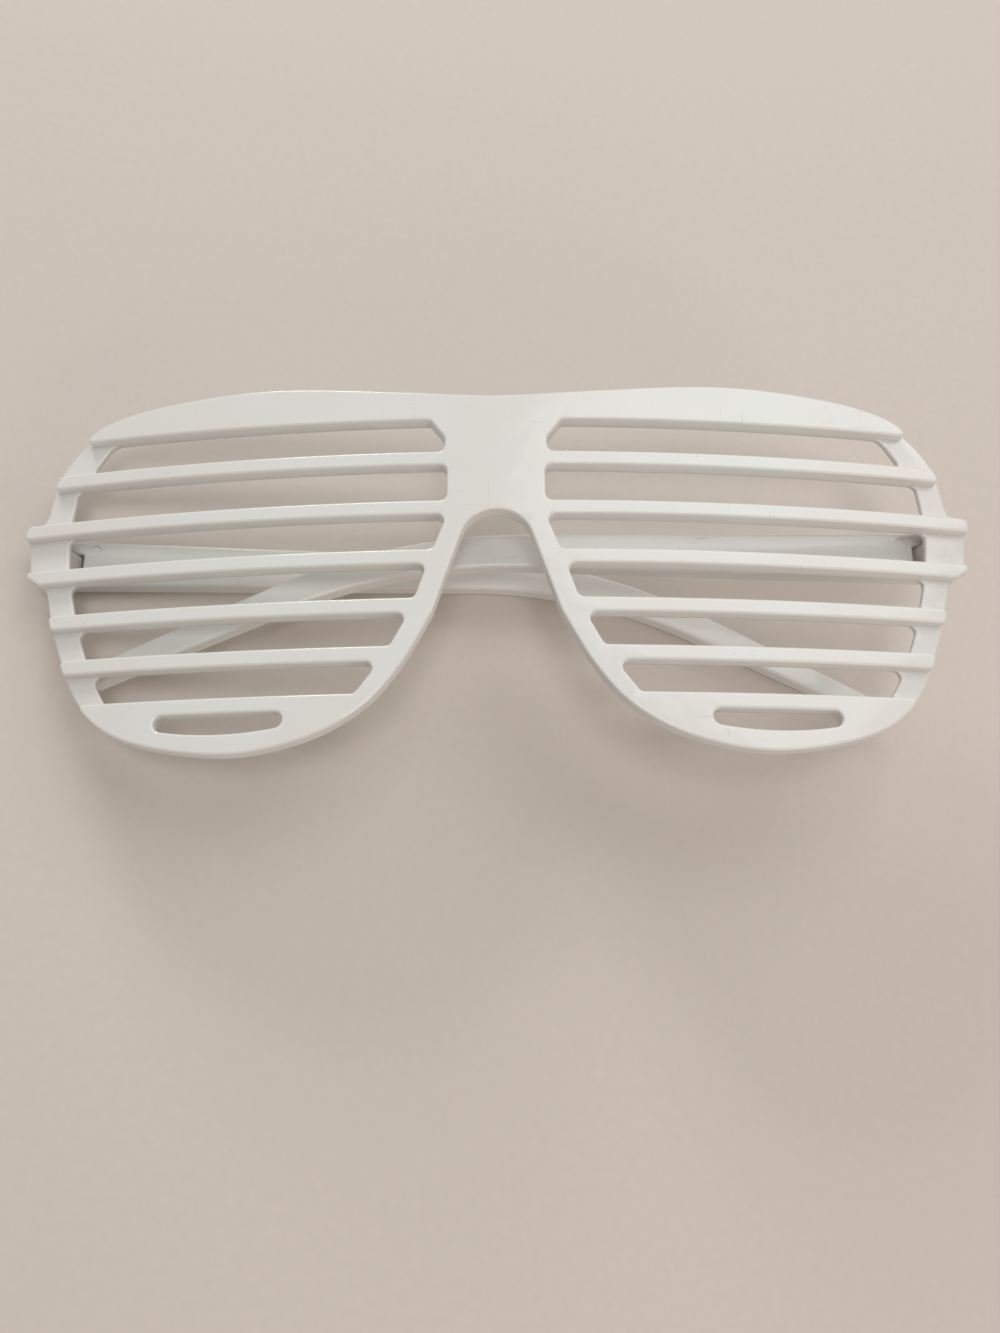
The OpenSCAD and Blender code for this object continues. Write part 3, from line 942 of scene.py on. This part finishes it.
def floor_card(stage):
    """Matt card with a faint grain."""
    grain_share = 0.97
    n = Nodes("floor_card")
    grain = n.between(n.noise(n.own_place(), scale=700, detail=3), 0.3, 0.7)
    return n.surface({
        "Base Color": n.mix(grain, opaque(stage.floor), opaque(stage.floor, grain_share)),
        "Roughness": 0.8, "Specular IOR Level": 0.2})


# The stage


def add_floor(stage):
    """Wide square card that the glasses lie on."""
    reach = 6.0
    corners = [[-reach, -reach, 0], [reach, -reach, 0], [reach, reach, 0], [-reach, reach, 0]]
    mesh = bpy.data.meshes.new("floor")
    mesh.from_pydata(corners, [], [[0, 1, 2, 3]])
    mesh.materials.append(floor_card(stage))
    floor = bpy.data.objects.new("floor", mesh)
    bpy.context.scene.collection.objects.link(floor)


def area_lamp(name, place, size, power, tint=(1, 1, 1)):
    """Square lamp at a place in metres, which shines at the glasses."""
    lamp = bpy.data.lights.new(name, "AREA")
    lamp.size = size
    lamp.energy = power
    lamp.color = tint
    item = bpy.data.objects.new(name, lamp)
    turn = Vector(place).to_track_quat("Z", "Y").to_matrix().to_4x4()
    item.matrix_world = Matrix.Translation(place) @ turn
    bpy.context.scene.collection.objects.link(item)


def add_light(stage):
    """Key lamp at the upper right, two small lamps for the gloss of the slats and the brow, a warm
    fill lamp at the lower right, and an even light all round."""
    ceiling_share, brow_share = 0.7, 1.25
    warm, daylight = (1.0, 0.82, 0.74), (1.0, 0.965, 0.925, 1.0)
    area_lamp("key", (0.29, 0.41, 0.62), 0.58, stage.key)
    area_lamp("ceiling_light", (-0.04, -0.12, 0.80), 0.24, stage.key * ceiling_share)
    area_lamp("brow_light", (-0.25, 0.75, 0.30), 0.22, stage.key * brow_share)
    area_lamp("fill", (0.42, -0.62, 0.28), 0.30, stage.fill, warm)
    world = bpy.data.worlds.new("studio")
    world.use_nodes = True
    background = world.node_tree.nodes["Background"]
    background.inputs["Color"].default_value = daylight
    background.inputs["Strength"].default_value = stage.world
    bpy.context.scene.world = world


def add_camera(stage, layout):
    """Camera with its place and turn in the front's frame."""
    image_height = 36
    camera = bpy.data.cameras.new("camera")
    camera.sensor_width = image_height
    camera.lens = stage.lens
    camera.clip_start = 0.01
    item = bpy.data.objects.new("camera", camera)
    place = Matrix.Translation([value * MM for value in stage.view_place])
    turn = Euler(stage.view_turn, "XYZ").to_matrix().to_4x4()
    item.matrix_world = layout.table_matrix() @ place @ turn
    bpy.context.scene.collection.objects.link(item)
    bpy.context.scene.camera = item


# Operators


class GLASSES_OT_stage(bpy.types.Operator):
    """Add the floor, the lamps and the camera"""

    bl_idname = "glasses.stage"
    bl_label = "Stage"

    def execute(self, context):
        scene, stage = context.scene, context.scene.glasses_stage
        add_floor(stage)
        add_light(stage)
        add_camera(stage, Layout(scene))
        scene.view_settings.view_transform = "Standard"
        return {"FINISHED"}


class GLASSES_OT_front(bpy.types.Operator):
    """Add the slotted front with its side rims and hinge lugs"""

    bl_idname = "glasses.front"
    bl_label = "Front"

    def execute(self, context):
        scene = context.scene
        mesh = mesh_of("slotted_front", front_solids(Layout(scene)))
        material = white_plastic("front_plastic", scene.glasses_finish, (0, 0, 0))
        finish_piece("slotted_front", mesh, material, "front", "front")
        return {"FINISHED"}


class GLASSES_OT_temples(bpy.types.Operator):
    """Add the two temples with their forked roots"""

    bl_idname = "glasses.temples"
    bl_label = "Temples"

    def execute(self, context):
        scene = context.scene
        layout = Layout(scene)
        for word, side, fold in layout.temples:
            name = f"temple_{word}"
            pattern_offset = (0.3 * side, 0.2, 0.1)
            material = white_plastic(f"{name}_plastic", scene.glasses_finish, pattern_offset)
            mesh = temple_mesh(layout, side, fold)
            finish_piece(f"forked_{name}", mesh, material, name, name)
        return {"FINISHED"}


class GLASSES_OT_pins(bpy.types.Operator):
    """Add the two hinge pins"""

    bl_idname = "glasses.pins"
    bl_label = "Hinge pins"

    def execute(self, context):
        layout = Layout(context.scene)
        material = pin_steel(context.scene.glasses_finish)
        for word, side, fold in layout.temples:
            mesh = mesh_of(f"steel_pin_{word}", [pin_solid(layout, side, fold)])
            finish_piece(
                f"steel_pin_{word}", mesh, material, f"temple_{word}",
                f"hinge_pin_{word}")
        return {"FINISHED"}


OPERATORS = (GLASSES_OT_stage, GLASSES_OT_front, GLASSES_OT_temples, GLASSES_OT_pins)
SETTINGS = {
    "glasses_front": GlassesFront,
    "glasses_hinge": GlassesHinge,
    "glasses_finish": GlassesFinish,
    "glasses_stage": GlassesStage,
}


class GLASSES_PT_panel(bpy.types.Panel):
    """Settings and pieces of the glasses"""

    bl_label = "Slotted Party Glasses"
    bl_idname = "GLASSES_PT_panel"
    bl_space_type = "VIEW_3D"
    bl_region_type = "UI"
    bl_category = "Glasses"

    def draw(self, context):
        for name, group in SETTINGS.items():
            box = self.layout.box()
            box.label(text=group.__doc__)
            for setting in group.__annotations__:
                box.prop(getattr(context.scene, name), setting)
        for operator in OPERATORS:
            self.layout.operator(operator.bl_idname)


def register():
    for group in SETTINGS.values():
        bpy.utils.register_class(group)
    for name, group in SETTINGS.items():
        setattr(bpy.types.Scene, name, PointerProperty(type=group))
    for item in (*OPERATORS, GLASSES_PT_panel):
        bpy.utils.register_class(item)


def unregister():
    for item in (GLASSES_PT_panel, *reversed(OPERATORS)):
        bpy.utils.unregister_class(item)
    for name in SETTINGS:
        delattr(bpy.types.Scene, name)
    for group in SETTINGS.values():
        bpy.utils.unregister_class(group)


def main():
    register()
    bpy.ops.glasses.stage()
    bpy.ops.glasses.front()
    bpy.ops.glasses.temples()
    bpy.ops.glasses.pins()


if __name__ == "__main__":
    main()
